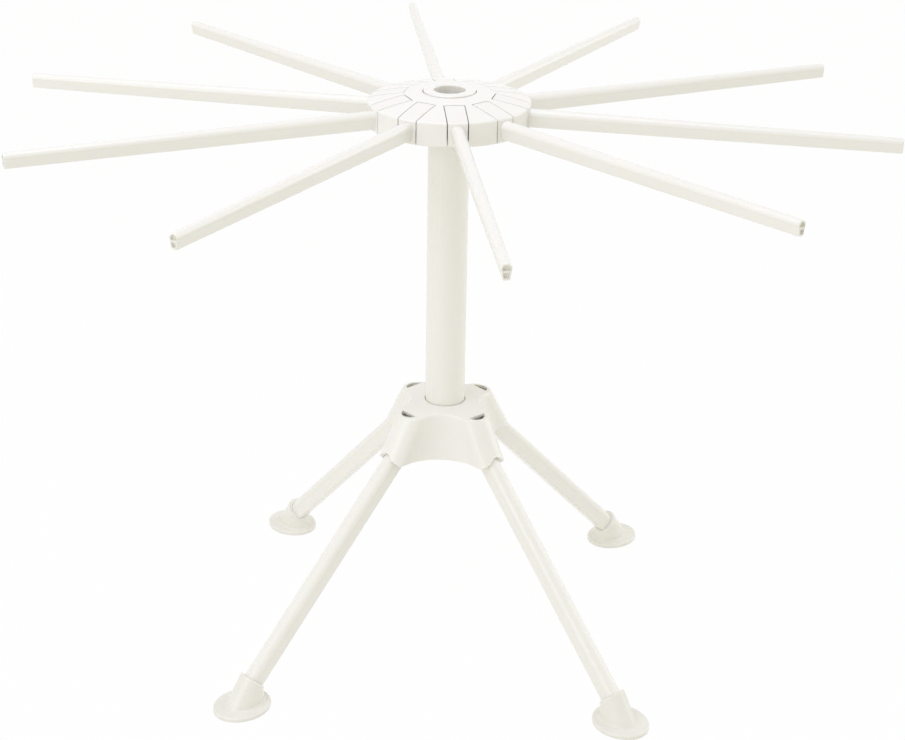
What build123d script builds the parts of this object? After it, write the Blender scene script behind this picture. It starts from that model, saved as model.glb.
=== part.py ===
from build123d import *
from math import atan2, cos, degrees, hypot, radians, sin, tan
import os

# A folding pasta drying rack of moulded plastic: a column on a four-lobed base with four splayed
# legs, and a domed hub on top that carries ten arms, each hinged in its own slot.
# All lengths are in millimetres, all angles in degrees. The origin is on the floor under the
# column, +Z is up, and one arm points along -Y.

# Layout
arm_count = 10
leg_count = 4
first_arm_azimuth = -90.0
first_leg_azimuth = 36.0
arm_reach = 211.9
leg_splay = 44.5
overrun = 5.0

# Clearances
swing_clearance = 0.3
pivot_clearance = 0.05
seat_clearance = 0.05

# Column
tube_diameter = 20.0
tube_wall = 1.25
tube_length = 175.3

# Hub
hub_radius = 39.1
hub_rim_height = 11.5
hub_dome_rise = 4.5
dome_middle_share = 0.625
hub_rim_rounding = 0.9
hub_socket_depth = 8.1
hub_shoulder = 4.0
hub_wall = 2.2
hub_web_wall = 1.8
hub_core_wall = 2.4
slot_inner_radius = 19.5

# Cap that clamps the hub on the column
cap_flange_diameter = 25.1
cap_bore_diameter = 15.0
cap_gap = 0.35
cap_standing = 0.9
cap_sleeve_length = 16.0
cap_rounding = 0.7

# Arm block, the hinged root of an arm, with a mould's draft on its sides
block_width = 9.6
block_foot_width = 8.8
arm_pivot_radius = 25.5
arm_pivot_drop = 0.7
arm_trunnion_diameter = 2.8
arm_trunnion_length = 1.6
trunnion_neck_share = 0.85

# Arm rod, a tapered keystone section: the width across its crown, its depth, and how much the
# foot of the section is narrower
rod_axis_height = 5.9
rod_root_width = 7.2
rod_root_depth = 8.8
rod_tip_width = 5.2
rod_tip_depth = 7.0
rod_foot_share = 0.56
rod_crown_rounding_share = 0.40
rod_foot_rounding_share = 0.16
rod_tip_rounding = 0.5
tip_pocket_depth = 1.1
tip_pocket_wall = 0.9
tip_pocket_rib = 0.9

# Leg, the same kind of section, with a rounded knuckle that turns in the base
leg_length = 149.6
leg_width = 8.1
leg_depth = 10.0
leg_shift = 0.4
leg_foot_share = 0.82
leg_crown_rounding_share = 0.40
leg_foot_rounding_share = 0.16
knuckle_width = 9.0
knuckle_margin = 1.0
knuckle_rounding = 0.8
leg_pivot_radius = 20.35
leg_trunnion_diameter = 4.0
leg_trunnion_length = 2.1

# Slit on top of each lobe: a segment of a circle, with its straight side towards the column
slit_radius = 4.9
slit_offset = 2.4
slit_width = 3.7

# Base
base_height = 23.8
base_top_slope = 6.5
base_wall = 2.2
base_rounding = 1.5
lobe_top_centre = 20.4
lobe_bottom_centre = 34.1
valley_top_radius = 18.0
valley_bottom_radius = 21.4
cheek_wall = 2.0
cheek_drop = 7.0
lobe_side_wall = 1.3
boss_wall = 2.15
tube_seat_floor = 2.2
mouth_relief_gap = 0.4
mouth_relief_depth = 1.2
lobe_end_distance = 22.2
arch_gap = 0.6
arch_depth = 2.4

# Foot
foot_mouth_height = 12.8
foot_socket_depth = 9.4
foot_boss_wall = 1.6
foot_boss_shift = 0.3
foot_mouth_rounding = 0.7
pad_length = 30.0
pad_width = 25.6
pad_thickness = 2.0
pad_rounding = 0.7
pad_shift = 6.9
fairing_length_share = 0.73
fairing_width_share = 0.60
fairing_shift = -1.6
fairing_sink = 1.0
fairing_rounding = 1.2

# Worked out from the values above
tube_radius = tube_diameter / 2
tube_bore_radius = tube_radius - tube_wall
leg_run = leg_length * sin(radians(leg_splay))
leg_rise = leg_length * cos(radians(leg_splay))
leg_pivot_height = foot_mouth_height + leg_rise
knuckle_radius = leg_depth / 2 + knuckle_margin
base_top_height = leg_pivot_height + knuckle_radius + 2 * swing_clearance + base_wall
base_bottom_height = base_top_height - base_height
tube_bottom_height = base_bottom_height + tube_seat_floor
tube_top_height = tube_bottom_height + tube_length
hub_bottom_height = tube_top_height - hub_socket_depth
rim_top_height = hub_bottom_height + hub_rim_height
cap_seat_height = tube_top_height + hub_shoulder
arm_pivot_height = rim_top_height - arm_pivot_drop
rod_height = hub_bottom_height + rod_axis_height
slot_width = block_width + 2 * swing_clearance
cheek_face = knuckle_width / 2 + swing_clearance
lobe_radius = cheek_face + cheek_wall + lobe_side_wall
arm_pitch = 360.0 / arm_count
leg_pitch = 360.0 / leg_count


def keystone(width, depth, foot_share, crown_share, foot_rounding_share):
    """Section with a wide rounded crown towards local +Y and a narrower foot, round its centre."""
    half_crown = width / 2
    half_foot = foot_share * half_crown
    with BuildSketch() as section:
        with BuildLine():
            Polyline(
                (half_crown, depth / 2),
                (-half_crown, depth / 2),
                (-half_foot, -depth / 2),
                (half_foot, -depth / 2),
                close=True,
            )
        make_face()
        crown = section.vertices().group_by(Axis.Y)[-1]
        fillet(crown, crown_share * width)
        foot = section.vertices().group_by(Axis.Y)[0]
        fillet(foot, foot_rounding_share * width)
    return section.sketch


def lobed(centre, radius, valley):
    """Outline with one round lobe per leg, joined by hollow arcs that touch the lobes."""
    half_pitch = radians(leg_pitch / 2)
    hollow = radius**2 - valley**2 + 2 * cos(half_pitch) * centre * valley - centre**2
    hollow = hollow / (2 * valley - 2 * cos(half_pitch) * centre - 2 * radius)
    reach = valley + hollow
    across = reach * sin(half_pitch)
    along = reach * cos(half_pitch) - centre
    lean = atan2(across, along)
    touch = (centre + radius * cos(lean), radius * sin(lean))
    touch_radius = hypot(*touch)
    touch_angle = degrees(atan2(touch[1], touch[0]))
    with BuildSketch() as outline:
        with BuildLine():
            for index in range(leg_count):
                azimuth = index * leg_pitch
                start = polar(touch_radius, azimuth - touch_angle)
                end = polar(touch_radius, azimuth + touch_angle)
                following = polar(touch_radius, azimuth + leg_pitch - touch_angle)
                ThreePointArc(start, polar(centre + radius, azimuth), end)
                ThreePointArc(end, polar(valley, azimuth + leg_pitch / 2), following)
        make_face()
    return outline.sketch


def polar(radius, azimuth):
    """Point at a radius and an azimuth."""
    return (radius * cos(radians(azimuth)), radius * sin(radians(azimuth)))


def base_size(top_value, bottom_value, height):
    """Size of the base at a height, on the straight line between its top and its bottom."""
    share = (base_top_height - height) / base_height
    return top_value + share * (bottom_value - top_value)


def leg_plane(distance, shift=0.0):
    """Plane square to the leg of the +X lobe, at a distance from its pivot; local +Y is outward."""
    lean = radians(leg_splay)
    origin = (
        leg_pivot_radius + distance * sin(lean) + shift * cos(lean),
        0,
        leg_pivot_height - distance * cos(lean) + shift * sin(lean),
    )
    return Plane(origin=origin, x_dir=(0, 1, 0), z_dir=(sin(lean), 0, -cos(lean)))


# Domed blank that the hub and the arm blocks are cut from, so their tops and rims are flush
cap_seat_radius = cap_flange_diameter / 2 + cap_gap
dome_top_height = rim_top_height + hub_dome_rise
dome_middle_radius = (hub_radius + cap_seat_radius) / 2
dome_middle_height = rim_top_height + dome_middle_share * hub_dome_rise
with BuildPart() as hub_blank:
    with BuildSketch(Plane.XZ):
        with BuildLine():
            Polyline(
                (cap_seat_radius, dome_top_height),
                (0, dome_top_height),
                (0, hub_bottom_height),
                (hub_radius, hub_bottom_height),
                (hub_radius, rim_top_height),
            )
            ThreePointArc(
                (hub_radius, rim_top_height),
                (dome_middle_radius, dome_middle_height),
                (cap_seat_radius, dome_top_height),
            )
        make_face()
    revolve(axis=Axis.Z)
    rim_edges = hub_blank.faces().filter_by(GeomType.CYLINDER).sort_by(SortBy.AREA)[-1].edges()
    fillet(rim_edges.filter_by(GeomType.CIRCLE), hub_rim_rounding)

# Hub: ten full-height slots with trunnion seats entered from below, cored webs, tube socket
half_pitch = radians(arm_pitch / 2)
core_inner = arm_pivot_radius + arm_trunnion_diameter / 2 + hub_web_wall
core_outer = hub_radius - hub_wall
wall_line = slot_width / 2 + hub_web_wall
core_inner_half = (core_inner * sin(half_pitch) - wall_line) / cos(half_pitch)
core_outer_half = (core_outer * sin(half_pitch) - wall_line) / cos(half_pitch)
core_depth = hub_rim_height - hub_wall
seat_radius = arm_trunnion_diameter / 2 + pivot_clearance
seat_span = slot_width + 2 * (arm_trunnion_length + pivot_clearance)
neck_width = trunnion_neck_share * arm_trunnion_diameter
neck_height = arm_pivot_height - hub_bottom_height
blank_height = hub_rim_height + hub_dome_rise
tube_socket_radius = tube_radius + seat_clearance
core_ring_inner = tube_socket_radius + hub_core_wall
core_ring_outer = slot_inner_radius - hub_core_wall
with BuildPart() as arm_slot:
    with BuildSketch(Plane.XZ):
        with Locations((slot_inner_radius, hub_bottom_height)):
            Rectangle(hub_radius, blank_height, align=Align.MIN)
        with Locations((arm_pivot_radius, arm_pivot_height)):
            Rectangle(hub_radius, blank_height, align=(Align.MAX, Align.MIN), mode=Mode.SUBTRACT)
            Circle(arm_pivot_radius - slot_inner_radius)
    extrude(amount=slot_width / 2, both=True)

with BuildPart() as hub:
    add(hub_blank.part)
    for index in range(arm_count):
        turn = first_arm_azimuth + index * arm_pitch
        add(arm_slot.part, rotation=(0, 0, turn), mode=Mode.SUBTRACT)
    with BuildSketch(Plane.XY.offset(hub_bottom_height)):
        with PolarLocations(0, arm_count, start_angle=first_arm_azimuth + arm_pitch / 2):
            Polygon(
                (core_inner, -core_inner_half),
                (core_outer, -core_outer_half),
                (core_outer, core_outer_half),
                (core_inner, core_inner_half),
                align=None,
            )
    extrude(amount=core_depth, mode=Mode.SUBTRACT)
    with BuildSketch(Plane.XY.offset(hub_bottom_height)):
        with PolarLocations(arm_pivot_radius, arm_count, start_angle=first_arm_azimuth):
            Rectangle(neck_width, seat_span)
    extrude(amount=neck_height, mode=Mode.SUBTRACT)
    with PolarLocations(arm_pivot_radius, arm_count, start_angle=first_arm_azimuth):
        with Locations((0, 0, arm_pivot_height)):
            Cylinder(seat_radius, seat_span, rotation=(90, 0, 0), mode=Mode.SUBTRACT)
    with BuildSketch(Plane.XY.offset(hub_bottom_height)):
        Circle(core_ring_outer)
        Circle(core_ring_inner, mode=Mode.SUBTRACT)
    extrude(amount=core_depth, mode=Mode.SUBTRACT)
    with BuildSketch(Plane.XY.offset(hub_bottom_height)):
        Circle(tube_socket_radius)
    extrude(amount=hub_socket_depth, mode=Mode.SUBTRACT)
    with BuildSketch(Plane.XY.offset(hub_bottom_height)):
        Circle(tube_bore_radius)
    extrude(amount=blank_height, mode=Mode.SUBTRACT)
    with BuildSketch(Plane.XY.offset(cap_seat_height)):
        Circle(cap_seat_radius)
    extrude(amount=blank_height, mode=Mode.SUBTRACT)
hub.part.label = "hub"

# Cap: flange in the hub's counterbore, sleeve pressed into the column
cap_top_height = dome_top_height + cap_standing
cap_sleeve_radius = tube_bore_radius - seat_clearance
cap_sleeve_bottom = tube_top_height - cap_sleeve_length
with BuildPart() as hub_cap:
    with BuildSketch(Plane.XY.offset(cap_sleeve_bottom)):
        Circle(cap_sleeve_radius)
    extrude(amount=cap_seat_height - cap_sleeve_bottom)
    with BuildSketch(Plane.XY.offset(cap_seat_height)):
        Circle(cap_flange_diameter / 2)
    extrude(amount=cap_top_height - cap_seat_height)
    with BuildSketch(Plane.XY.offset(cap_sleeve_bottom)):
        Circle(cap_bore_diameter / 2)
    extrude(amount=cap_top_height - cap_sleeve_bottom, mode=Mode.SUBTRACT)
    fillet(hub_cap.edges().group_by(Axis.Z)[-1], cap_rounding)
hub_cap.part.label = "hub_cap"

# Column
with BuildPart() as column:
    with BuildSketch(Plane.XY.offset(tube_bottom_height)):
        Circle(tube_radius)
        Circle(tube_bore_radius, mode=Mode.SUBTRACT)
    extrude(amount=tube_length)
column.part.label = "column"

# Arm along +X: a block cut from the domed blank, its heel square for the stop and its upper
# corner rounded to turn clear of the slot, two trunnions, and a tapered rod with a cored tip
block_inner_radius = slot_inner_radius + swing_clearance
turning_radius = arm_pivot_radius - block_inner_radius
with BuildPart() as arm_pattern:
    add(hub_blank.part)
    with BuildSketch(Plane.YZ.offset(block_inner_radius)):
        Polygon(
            (-block_foot_width / 2, hub_bottom_height),
            (block_foot_width / 2, hub_bottom_height),
            (block_width / 2, dome_top_height),
            (-block_width / 2, dome_top_height),
            align=None,
        )
    extrude(amount=hub_radius, mode=Mode.INTERSECT)
    with BuildSketch(Plane.XZ):
        with Locations((arm_pivot_radius, arm_pivot_height)):
            Rectangle(hub_radius, blank_height, align=(Align.MAX, Align.MIN))
            Circle(turning_radius, mode=Mode.SUBTRACT)
    extrude(amount=block_width, both=True, mode=Mode.SUBTRACT)
    with Locations((arm_pivot_radius, 0, arm_pivot_height)):
        trunnion_span = block_width + 2 * arm_trunnion_length
        Cylinder(arm_trunnion_diameter / 2, trunnion_span, rotation=(90, 0, 0))
    with BuildSketch(Plane.YZ.offset(hub_radius - hub_rim_rounding)):
        with Locations((0, rod_height)):
            add(keystone(rod_root_width, rod_root_depth, rod_foot_share,
                         rod_crown_rounding_share, rod_foot_rounding_share))
    with BuildSketch(Plane.YZ.offset(arm_reach)):
        with Locations((0, rod_height)):
            add(keystone(rod_tip_width, rod_tip_depth, rod_foot_share,
                         rod_crown_rounding_share, rod_foot_rounding_share))
    loft()
    fillet(arm_pattern.faces().sort_by(Axis.X)[-1].edges(), rod_tip_rounding)
    with BuildSketch(Plane.YZ.offset(arm_reach)):
        with Locations((0, rod_height)):
            add(keystone(rod_tip_width - 2 * tip_pocket_wall, rod_tip_depth - 2 * tip_pocket_wall,
                         rod_foot_share, rod_crown_rounding_share, rod_foot_rounding_share))
            Rectangle(rod_tip_width, tip_pocket_rib, mode=Mode.SUBTRACT)
    extrude(amount=-tip_pocket_depth, mode=Mode.SUBTRACT)

# Base: a lobed shell open below, with a boss for the column, a pair of cheeks for each leg's
# trunnions, a slit over each knuckle and each lobe's end cut square to its leg, with an arch
boss_radius = tube_socket_radius + boss_wall
plate_underside = base_top_height - base_wall
base_fall = tan(radians(base_top_slope))
base_crown_height = base_top_height + valley_top_radius * base_fall
mouth_height = base_crown_height - tube_radius * base_fall
slit_centre = leg_pivot_radius + slit_offset
slit_chord = slit_radius - slit_width
leg_seat_radius = leg_trunnion_diameter / 2 + pivot_clearance
cheek_span = 2 * (cheek_face + cheek_wall)
cheek_length = lobe_bottom_centre + lobe_radius
cheek_bottom = leg_pivot_height - cheek_drop
leg_neck_width = trunnion_neck_share * leg_trunnion_diameter
with BuildPart() as base_cavity:
    for height in (base_bottom_height, plate_underside):
        with BuildSketch(Plane.XY.offset(height)):
            add(lobed(
                base_size(lobe_top_centre, lobe_bottom_centre, height),
                lobe_radius - base_wall,
                base_size(valley_top_radius, valley_bottom_radius, height) - base_wall,
            ))
    loft(ruled=True)
    with BuildSketch(Plane.XY.offset(base_bottom_height)):
        Circle(boss_radius)
    extrude(amount=base_height, mode=Mode.SUBTRACT)
    with BuildSketch(Plane.XY.offset(cheek_bottom)):
        with PolarLocations(0, leg_count):
            with Locations((0, cheek_face + cheek_wall / 2), (0, -cheek_face - cheek_wall / 2)):
                Rectangle(cheek_length, cheek_wall, align=(Align.MIN, Align.CENTER))
    extrude(amount=base_height, mode=Mode.SUBTRACT)

arch_radius = leg_width / 2 + arch_gap
with BuildPart() as lobe_end:
    with BuildSketch(leg_plane(lobe_end_distance)):
        Rectangle(2 * lobe_radius + overrun, 2 * base_height)
    extrude(amount=base_height)
    with Locations(leg_plane(lobe_end_distance + arch_radius - arch_depth)):
        Cylinder(
            arch_radius, base_height, rotation=(-90, 0, 0),
            align=(Align.CENTER, Align.CENTER, Align.MIN),
        )
    with BuildSketch(leg_plane(0, -leg_shift)):
        add(keystone(leg_width + 2 * swing_clearance, leg_depth + 2 * swing_clearance,
                     leg_foot_share, leg_crown_rounding_share, leg_foot_rounding_share))
    extrude(amount=lobe_end_distance)

with BuildPart() as base_pattern:
    for height in (base_bottom_height, base_crown_height):
        with BuildSketch(Plane.XY.offset(height)):
            add(lobed(
                base_size(lobe_top_centre, lobe_bottom_centre, height),
                lobe_radius,
                base_size(valley_top_radius, valley_bottom_radius, height),
            ))
    loft(ruled=True)
    with BuildSketch(Plane.XZ):
        Polygon(
            (0, base_crown_height),
            (cheek_length, base_crown_height),
            (cheek_length, base_crown_height - cheek_length * base_fall),
            align=None,
        )
    revolve(axis=Axis.Z, mode=Mode.SUBTRACT)
    fillet(base_pattern.faces().sort_by(Axis.Z)[-1].edges(), base_rounding)
    add(base_cavity.part, mode=Mode.SUBTRACT)
    with BuildSketch(Plane.XY.offset(tube_bottom_height)):
        Circle(tube_socket_radius)
    extrude(amount=base_height, mode=Mode.SUBTRACT)
    with BuildSketch(Plane.XY.offset(mouth_height - mouth_relief_depth)):
        Circle(tube_radius + mouth_relief_gap)
    extrude(amount=base_height, mode=Mode.SUBTRACT)
    with BuildSketch(Plane.XY.offset(plate_underside - swing_clearance)):
        with PolarLocations(slit_centre, leg_count):
            Circle(slit_radius)
            with Locations((slit_chord, 0)):
                Rectangle(
                    2 * slit_radius, 2 * slit_radius,
                    align=(Align.MAX, Align.CENTER), mode=Mode.SUBTRACT,
                )
    extrude(amount=base_height, mode=Mode.SUBTRACT)
    with BuildSketch(Plane.XY.offset(base_bottom_height)):
        with PolarLocations(leg_pivot_radius, leg_count):
            Rectangle(leg_neck_width, cheek_span)
    extrude(amount=leg_pivot_height - base_bottom_height, mode=Mode.SUBTRACT)
    with PolarLocations(leg_pivot_radius, leg_count):
        with Locations((0, 0, leg_pivot_height)):
            Cylinder(leg_seat_radius, cheek_span, rotation=(90, 0, 0), mode=Mode.SUBTRACT)
    for index in range(leg_count):
        add(lobe_end.part, rotation=(0, 0, index * leg_pitch), mode=Mode.SUBTRACT)

with BuildPart() as base:
    add(base_pattern.part, rotation=(0, 0, first_leg_azimuth))
base.part.label = "base"

# Leg under the +X lobe: a knuckle with two trunnions and a straight keystone rod, whose crown
# comes up against the wall of the lobe's end when the leg is spread
with BuildPart() as leg_pattern:
    with Locations((leg_pivot_radius, 0, leg_pivot_height)):
        Cylinder(knuckle_radius, knuckle_width, rotation=(90, 0, 0))
    fillet(leg_pattern.edges().filter_by(GeomType.CIRCLE), knuckle_rounding)
    with BuildSketch(leg_plane(0, -leg_shift)):
        add(keystone(leg_width, leg_depth, leg_foot_share,
                     leg_crown_rounding_share, leg_foot_rounding_share))
    extrude(amount=leg_length + foot_socket_depth - seat_clearance)
    with Locations((leg_pivot_radius, 0, leg_pivot_height)):
        trunnion_span = knuckle_width + 2 * leg_trunnion_length
        Cylinder(leg_trunnion_diameter / 2, trunnion_span, rotation=(90, 0, 0))

# Foot under the +X lobe: an oval pad flat on the floor, faired into a slanted socket for the leg
pad_centre = leg_pivot_radius + leg_run + pad_shift
foot_boss_radius = leg_depth / 2 + foot_boss_wall
socket_width = leg_width + 2 * seat_clearance
socket_depth = leg_depth + 2 * seat_clearance
fairing_foot = Plane(
    origin=(0, 0, pad_thickness - fairing_sink), x_dir=(0, 1, 0), z_dir=(0, 0, -1)
)
with BuildPart() as foot_pattern:
    with BuildSketch():
        with Locations((pad_centre, 0)):
            Ellipse(pad_length / 2, pad_width / 2)
    extrude(amount=pad_thickness)
    fillet(foot_pattern.edges().group_by(Axis.Z)[-1], pad_rounding)
    with BuildSketch(leg_plane(leg_length, foot_boss_shift)):
        Circle(foot_boss_radius)
    with BuildSketch(fairing_foot):
        with Locations((0, pad_centre + fairing_shift)):
            Ellipse(fairing_width_share * pad_width / 2, fairing_length_share * pad_length / 2)
    loft()
    fillet(foot_pattern.edges().sort_by(Axis.Z)[-1], foot_mouth_rounding)
    pad_top = foot_pattern.faces().filter_by(GeomType.PLANE).filter_by(Axis.Z).sort_by(Axis.Z)[-1]
    fillet(pad_top.inner_wires()[0].edges(), fairing_rounding)
    with BuildSketch(leg_plane(leg_length, -leg_shift)):
        add(keystone(socket_width, socket_depth, leg_foot_share,
                     leg_crown_rounding_share, leg_foot_rounding_share))
    extrude(amount=foot_socket_depth, mode=Mode.SUBTRACT)

# Each repeated piece is turned from its pattern into its own place
os.makedirs("parts", exist_ok=True)
for piece in (hub, hub_cap, column, base):
    export_step(piece.part, f"parts/{piece.part.label}.step")
for index in range(arm_count):
    with BuildPart() as arm:
        add(arm_pattern.part, rotation=(0, 0, first_arm_azimuth + index * arm_pitch))
    arm.part.label = f"arm_{index + 1}"
    export_step(arm.part, f"parts/{arm.part.label}.step")
for index in range(leg_count):
    with BuildPart() as leg:
        add(leg_pattern.part, rotation=(0, 0, first_leg_azimuth + index * leg_pitch))
    leg.part.label = f"leg_{index + 1}"
    export_step(leg.part, f"parts/{leg.part.label}.step")
    with BuildPart() as foot:
        add(foot_pattern.part, rotation=(0, 0, first_leg_azimuth + index * leg_pitch))
    foot.part.label = f"foot_{index + 1}"
    export_step(foot.part, f"parts/{foot.part.label}.step")
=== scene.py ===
import math

import bpy
from mathutils import Matrix, Vector


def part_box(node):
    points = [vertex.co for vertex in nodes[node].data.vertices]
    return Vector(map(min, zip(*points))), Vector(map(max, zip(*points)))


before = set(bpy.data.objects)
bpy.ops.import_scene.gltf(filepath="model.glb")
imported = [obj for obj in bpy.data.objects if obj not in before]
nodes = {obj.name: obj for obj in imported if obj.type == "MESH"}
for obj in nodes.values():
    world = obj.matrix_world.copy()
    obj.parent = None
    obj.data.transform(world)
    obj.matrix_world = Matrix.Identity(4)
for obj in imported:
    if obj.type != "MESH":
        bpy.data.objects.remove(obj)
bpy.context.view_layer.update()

MM = 0.001

# Ivory ABS: body colour and its drift with the melt's flow, for hub and legs, arms, feet and tube;
# the arms' and feet's pairs are painted shade, that ivory dimmed
IVORY, IVORY_DRIFT = "#f6f4ef", "#f3f1eb"
# Arms: the ivory dimmed a touch, painted shade that tones down the lamps' strong light on them
ARM_IVORY_PAINTED_SHADE, ARM_DRIFT_PAINTED_SHADE = "#f4f2ed", "#f2f0ea"
# Feet: the ivory dimmed, painted shade for the weaker light near the floor
FOOT_IVORY_PAINTED_SHADE, FOOT_DRIFT_PAINTED_SHADE = "#f1efe8", "#eeece4"
TUBE_IVORY, TUBE_DRIFT = "#f6f4ee", "#f4f2eb"
ABS_IOR = 1.54
# Light that creeps under the skin, red the furthest
SCATTER_WEIGHT = 0.15
SCATTER_REACH = (1.0, 0.75, 0.45)
SCATTER_MM = 1.5

# Skin: grain of the orange peel, heights of swell and peel, and the peel's change of roughness.
# The peel is about twice as coarse as life, so that it shows at the photograph's distance.
PEEL_MM = 1.6
MOULDED_RELIEF_MM = (0.05, 0.003)
DRAWN_RELIEF_MM = (0.004, 0.0006)
GLOSS_CHANGE = 0.04
NOISE_LOW, NOISE_HIGH = 0.3, 0.7  # nearly all of a noise's values lie between these
DRAWN_STRETCH = 60.0  # length of a die's marks against their width
EDGE_MM = 0.25
EDGE_SAMPLES = 4

# Hairline where the tool's halves meet: half its width, its height, and its place. It is drawn
# wider than life, so that it shows.
HAIRLINE_MM = 0.18
HAIRLINE_HEIGHT_MM = 0.03
HAIRLINE_COLOUR = "#e6e2d6"
HAIRLINE_TINT = 0.5
ARM_PARTING_MM = 7.0  # above the hub's underside
LEG_PARTING_MM = 99.2  # from the origin, square to the leaning legs
LEG_LEAN = math.radians(44.5)

# Studio
PAPER_COLOUR = "#f6f5f2"
PAPER_CLEAR = 0.96  # share of the white behind that the camera and the gloss see through the paper
FLOOR_HALF = 3.0
FLOOR_DROP_MM = 0.1  # a hair under the soles, so that two faces never share a plane
FILL_COLOUR = "#fffdef"
FILL_STRENGTH = 0.68
# Cool key lamps over a warmer fill, so that lit plastic is near white and its shade is ivory:
# place and side in metres, power in watts, colour
LAMP_AIM = (0, 0, 0.2)
SOFTBOXES = {
    "top_softbox": ((-0.25, -0.15, 1.15), 0.8, 4.1, "#dee0ff"),
    "left_softbox": ((-1.3, -1.2, 0.7), 1.2, 5.9, "#f0f7ff"),
    "right_softbox": ((1.5, 0.3, 0.7), 1.2, 6.3, "#edf4ff"),
}

# Camera, from the photograph's fit: position in mm, angles in degrees, focal length in image widths
CAMERA_AZIMUTH = -96.04
CAMERA_DISTANCE = 856.5
CAMERA_HEIGHT = 529.9
CAMERA_YAW = -6.28
CAMERA_PITCH = -24.22
CAMERA_ROLL = 0.96
FOCAL_WIDTHS = 1852 / 905
SENSOR_WIDTH = 36.0


def linear(hex_colour):
    """sRGB hex text to a linear RGBA tuple."""
    channels = [int(hex_colour[i:i + 2], 16) / 255 for i in (1, 3, 5)]
    values = [c / 12.92 if c <= 0.04045 else ((c + 0.055) / 1.055) ** 2.4 for c in channels]
    return (*values, 1.0)


def add_node(tree, kind, inputs=None, **properties):
    """Adds a node, sets its properties, and gives its inputs a value or another node's output."""
    node = tree.nodes.new(kind)
    for name, value in properties.items():
        setattr(node, name, value)
    for name, source in (inputs or {}).items():
        if isinstance(source, bpy.types.NodeSocket):
            tree.links.new(source, node.inputs[name])
        else:
            node.inputs[name].default_value = source
    return node


def empty_tree(owner):
    """The cleared node tree of a material or world."""
    owner.use_nodes = True
    owner.node_tree.nodes.clear()
    return owner.node_tree


def polished_plastic(name, colour, shade, roughness, flow_mm, relief_mm, stretch=1.0,
                     parting=None):
    """Ivory ABS from a polished tool. The eye gets a soft gloss that is broken very slightly by the
    skin's orange peel, a body colour that drifts with the melt's flow, edges that catch the light,
    and, where the tool's halves meet, a hairline. relief_mm gives the heights of the swell and of
    the peel, stretch draws both out along Z, and parting gives the hairline's place: the outward
    and upward shares of its plane, and the plane's offset."""
    swell_mm, peel_mm = relief_mm
    material = bpy.data.materials.new(name)
    tree = empty_tree(material)
    place = add_node(tree, "ShaderNodeTexCoord").outputs["Object"]
    drawn = add_node(tree, "ShaderNodeMapping", {"Vector": place, "Scale": (1, 1, 1 / stretch)})
    flow = add_node(tree, "ShaderNodeTexNoise",
                    {"Vector": drawn.outputs["Vector"], "Scale": 1 / (flow_mm * MM),
                     "Detail": 2.0, "Roughness": 0.5})
    peel = add_node(tree, "ShaderNodeTexNoise",
                    {"Vector": drawn.outputs["Vector"], "Scale": 1 / (PEEL_MM * MM),
                     "Detail": 3.0, "Roughness": 0.55})
    body = add_node(tree, "ShaderNodeMix",
                    {0: flow.outputs["Fac"], 6: linear(colour), 7: linear(shade)},
                    data_type="RGBA").outputs[2]
    swell = add_node(tree, "ShaderNodeMath",
                     {0: flow.outputs["Fac"], 1: swell_mm * MM}, operation="MULTIPLY")
    relief = add_node(tree, "ShaderNodeMath",
                      {0: peel.outputs["Fac"], 1: peel_mm * MM, 2: swell.outputs[0]},
                      operation="MULTIPLY_ADD").outputs[0]
    if parting:
        outward, upward, offset = parting
        axes = add_node(tree, "ShaderNodeSeparateXYZ", {0: place})
        flat = add_node(tree, "ShaderNodeVectorMath", {0: place, 1: (1, 1, 0)},
                        operation="MULTIPLY")
        reach = add_node(tree, "ShaderNodeVectorMath", {0: flat.outputs["Vector"]},
                         operation="LENGTH")
        across = add_node(tree, "ShaderNodeMath",
                          {0: reach.outputs["Value"], 1: outward, 2: -offset},
                          operation="MULTIPLY_ADD")
        height = add_node(tree, "ShaderNodeMath",
                          {0: axes.outputs["Z"], 1: upward, 2: across.outputs[0]},
                          operation="MULTIPLY_ADD")
        distance = add_node(tree, "ShaderNodeMath", {0: height.outputs[0]}, operation="ABSOLUTE")
        hairline = add_node(tree, "ShaderNodeMapRange",
                            {"Value": distance.outputs[0], "From Max": HAIRLINE_MM * MM,
                             "To Min": 1.0, "To Max": 0.0}, interpolation_type="SMOOTHSTEP")
        relief = add_node(tree, "ShaderNodeMath",
                          {0: hairline.outputs["Result"], 1: HAIRLINE_HEIGHT_MM * MM, 2: relief},
                          operation="MULTIPLY_ADD").outputs[0]
        tint = add_node(tree, "ShaderNodeMath",
                        {0: hairline.outputs["Result"], 1: HAIRLINE_TINT}, operation="MULTIPLY")
        body = add_node(tree, "ShaderNodeMix",
                        {0: tint.outputs[0], 6: body, 7: linear(HAIRLINE_COLOUR)},
                        data_type="RGBA").outputs[2]
    gloss = add_node(tree, "ShaderNodeMapRange",
                     {"Value": peel.outputs["Fac"], "From Min": NOISE_LOW, "From Max": NOISE_HIGH,
                      "To Min": roughness - GLOSS_CHANGE, "To Max": roughness + GLOSS_CHANGE})
    edge = add_node(tree, "ShaderNodeBevel", {"Radius": EDGE_MM * MM}, samples=EDGE_SAMPLES)
    skin = add_node(tree, "ShaderNodeBump",
                    {"Height": relief, "Normal": edge.outputs["Normal"], "Strength": 1.0,
                     "Distance": 1.0})
    surface = add_node(tree, "ShaderNodeBsdfPrincipled",
                       {"Base Color": body, "Roughness": gloss.outputs["Result"],
                        "Normal": skin.outputs["Normal"], "IOR": ABS_IOR,
                        "Subsurface Weight": SCATTER_WEIGHT, "Subsurface Radius": SCATTER_REACH,
                        "Subsurface Scale": SCATTER_MM * MM})
    add_node(tree, "ShaderNodeOutputMaterial", {"Surface": surface.outputs["BSDF"]})
    return material


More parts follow.
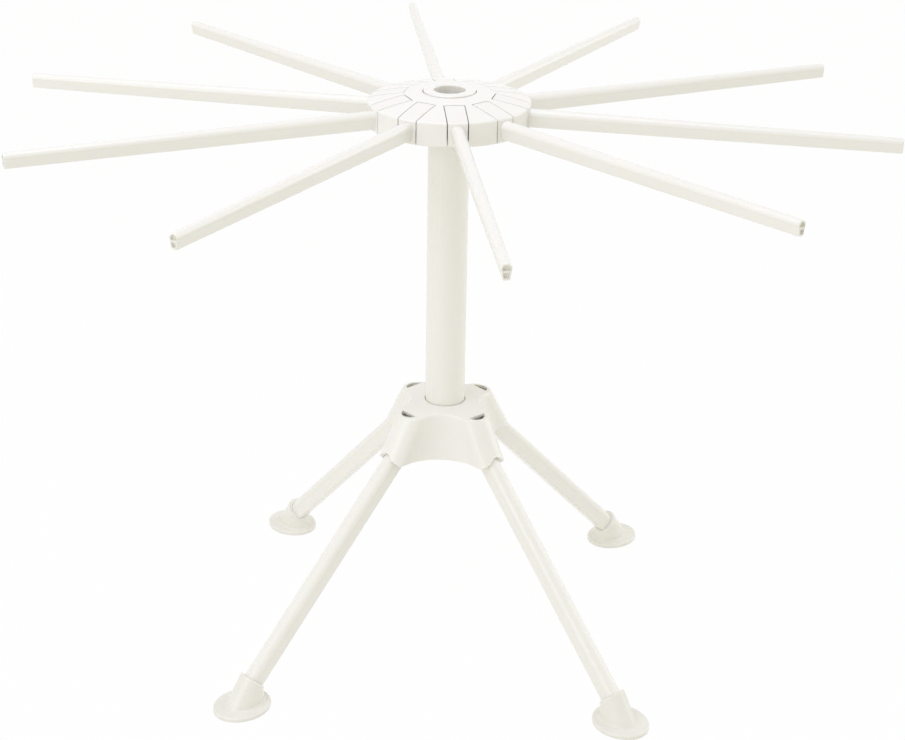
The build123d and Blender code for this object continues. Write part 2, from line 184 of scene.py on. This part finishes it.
def background_rays(tree):
    """1 on rays from the camera or off a gloss, which see the studio white, and 0 on the rest."""
    path = add_node(tree, "ShaderNodeLightPath")
    return add_node(tree, "ShaderNodeMath", {0: path.outputs["Is Camera Ray"],
                                             1: path.outputs["Is Glossy Ray"]},
                    operation="MAXIMUM").outputs[0]


hub_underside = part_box("hub")[0][2]
# Hub, cap and base: the broadest faces, with the slowest drift and the clearest gloss
moulded = polished_plastic("abs_injection_moulded_ivory", IVORY, IVORY_DRIFT, roughness=0.20,
                           flow_mm=22.0, relief_mm=MOULDED_RELIEF_MM)
# Arms: their tool parts level, so that a hairline runs along the rods' widest line; their ivory is
# dimmed, painted shade against the lamps' strong light on them
arm = polished_plastic("abs_injection_moulded_ivory_arms_painted_shade", ARM_IVORY_PAINTED_SHADE, ARM_DRIFT_PAINTED_SHADE, roughness=0.20,
                       flow_mm=16.0, relief_mm=MOULDED_RELIEF_MM,
                       parting=(0.0, 1.0, hub_underside + ARM_PARTING_MM * MM))
# Legs: their tool parts along the leaning leg, and they are a little duller from handling
leg = polished_plastic("abs_injection_moulded_ivory_legs", IVORY, IVORY_DRIFT, roughness=0.22,
                       flow_mm=20.0, relief_mm=MOULDED_RELIEF_MM,
                       parting=(math.cos(LEG_LEAN), math.sin(LEG_LEAN), LEG_PARTING_MM * MM))
# Feet: the same plastic a little duller, and its ivory a shade deeper: painted shade for the weaker
# light near the floor, where the feet look darker
foot = polished_plastic("abs_injection_moulded_ivory_feet_painted_shade", FOOT_IVORY_PAINTED_SHADE, FOOT_DRIFT_PAINTED_SHADE, roughness=0.24,
                        flow_mm=12.0, relief_mm=MOULDED_RELIEF_MM)
# Column: drawn through a die, which leaves long faint marks along it and no peel across
tube = polished_plastic("abs_extruded_tube_ivory", TUBE_IVORY, TUBE_DRIFT, roughness=0.24,
                        flow_mm=9.0, relief_mm=DRAWN_RELIEF_MM, stretch=DRAWN_STRETCH)
finishes = {"hub": moulded, "hub_cap": moulded, "base": moulded, "column": tube,
            "arm": arm, "leg": leg, "foot": foot}

for name, node in nodes.items():
    finish = finishes[name.rstrip("_0123456789")]
    if not node.material_slots:
        node.data.materials.append(finish)
    for slot in node.material_slots:
        slot.material = finish


# Floor and light
def paper_white():
    """White seamless paper that the camera and the gloss see through to the white behind, so that
    folded legs below the table still show, and on which the shadows stay faintly."""
    material = bpy.data.materials.new("seamless_paper_white")
    tree = empty_tree(material)
    share = add_node(tree, "ShaderNodeMath", {0: background_rays(tree), 1: PAPER_CLEAR},
                     operation="MULTIPLY")
    paper = add_node(tree, "ShaderNodeBsdfDiffuse", {"Color": linear(PAPER_COLOUR)})
    clear = add_node(tree, "ShaderNodeBsdfTransparent")
    both = add_node(tree, "ShaderNodeMixShader", {0: share.outputs[0], 1: paper.outputs[0],
                                                  2: clear.outputs[0]})
    add_node(tree, "ShaderNodeOutputMaterial", {"Surface": both.outputs[0]})
    return material


floor_mesh = bpy.data.meshes.new("floor")
corners = [(x * FLOOR_HALF, y * FLOOR_HALF, -FLOOR_DROP_MM * MM)
           for x, y in ((-1, -1), (1, -1), (1, 1), (-1, 1))]
floor_mesh.from_pydata(corners, [], [(0, 1, 2, 3)])
floor = bpy.data.objects.new("floor", floor_mesh)
bpy.context.scene.collection.objects.link(floor)
floor.data.materials.append(paper_white())

world = bpy.data.worlds.new("studio")
bpy.context.scene.world = world
tree = empty_tree(world)
seen = background_rays(tree)
fill = add_node(tree, "ShaderNodeBackground", {"Color": linear(FILL_COLOUR),
                                               "Strength": FILL_STRENGTH})
white = add_node(tree, "ShaderNodeBackground", {"Color": (1, 1, 1, 1), "Strength": 1.0})
both = add_node(tree, "ShaderNodeMixShader", {0: seen, 1: fill.outputs[0], 2: white.outputs[0]})
add_node(tree, "ShaderNodeOutputWorld", {"Surface": both.outputs[0]})

for name, (position, side, power, colour) in SOFTBOXES.items():
    light = bpy.data.lights.new(name, "AREA")
    light.shape = "RECTANGLE"
    light.size = light.size_y = side
    light.energy = power
    light.color = linear(colour)[:3]
    lamp = bpy.data.objects.new(name, light)
    bpy.context.scene.collection.objects.link(lamp)
    lamp.location = position
    lamp.rotation_euler = (Vector(LAMP_AIM) - Vector(position)).to_track_quat("-Z", "Y").to_euler()

# Camera
yaw, pitch, roll = (math.radians(a) for a in (CAMERA_YAW, CAMERA_PITCH, CAMERA_ROLL))
forward = Vector((-math.sin(yaw) * math.cos(pitch), math.cos(yaw) * math.cos(pitch),
                  math.sin(pitch)))
level = Vector((math.cos(yaw), math.sin(yaw), 0))
upward = level.cross(forward)
right = math.cos(roll) * level + math.sin(roll) * upward
up = -math.sin(roll) * level + math.cos(roll) * upward
azimuth = math.radians(CAMERA_AZIMUTH)
place = Vector((CAMERA_DISTANCE * math.cos(azimuth), CAMERA_DISTANCE * math.sin(azimuth),
                CAMERA_HEIGHT)) * MM
lens = bpy.data.cameras.new("photo_camera")
lens.sensor_fit = "HORIZONTAL"
lens.sensor_width = SENSOR_WIDTH
lens.lens = FOCAL_WIDTHS * SENSOR_WIDTH
camera = bpy.data.objects.new("photo_camera", lens)
bpy.context.scene.collection.objects.link(camera)
camera.matrix_world = Matrix((
    (right.x, up.x, -forward.x, place.x),
    (right.y, up.y, -forward.y, place.y),
    (right.z, up.z, -forward.z, place.z),
    (0, 0, 0, 1),
))
bpy.context.scene.camera = camera
bpy.context.scene.view_settings.view_transform = "Standard"
